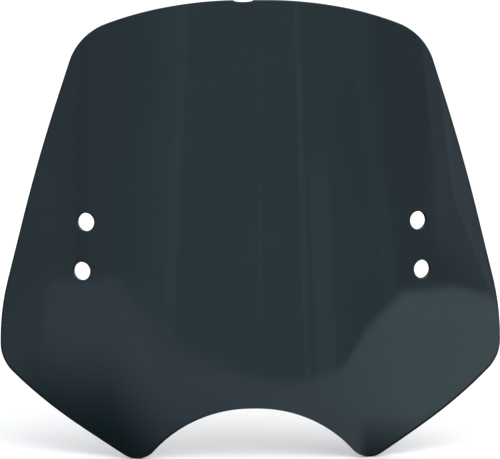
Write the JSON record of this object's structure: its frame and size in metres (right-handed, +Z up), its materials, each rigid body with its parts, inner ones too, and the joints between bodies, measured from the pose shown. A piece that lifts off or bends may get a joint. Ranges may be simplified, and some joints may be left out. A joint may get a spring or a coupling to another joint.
{
  "type": "motorcycle windshield screen",
  "caption": "Smoke-tinted motorcycle windshield screen: one hot-formed sheet with rounded crown, flared sides, headlight arch between two feet, and bracket holes in both wings.",
  "frame": {"origin": "middle of the four bracket holes, level with the front face beside them", "axes": "+Z up towards the crown, -Y out of the bulging front face, +Y towards the rider, +X to the right as seen from the front"},
  "size_m": [0.457, 0.0634, 0.4114],
  "materials": {
    "smoke_acrylic": "polished smoke-tinted transparent sheet, nearly opaque from the front"
  },
  "bodies": {
    "root": {"screen": "smoke_acrylic"}
  },
  "joints": []
}
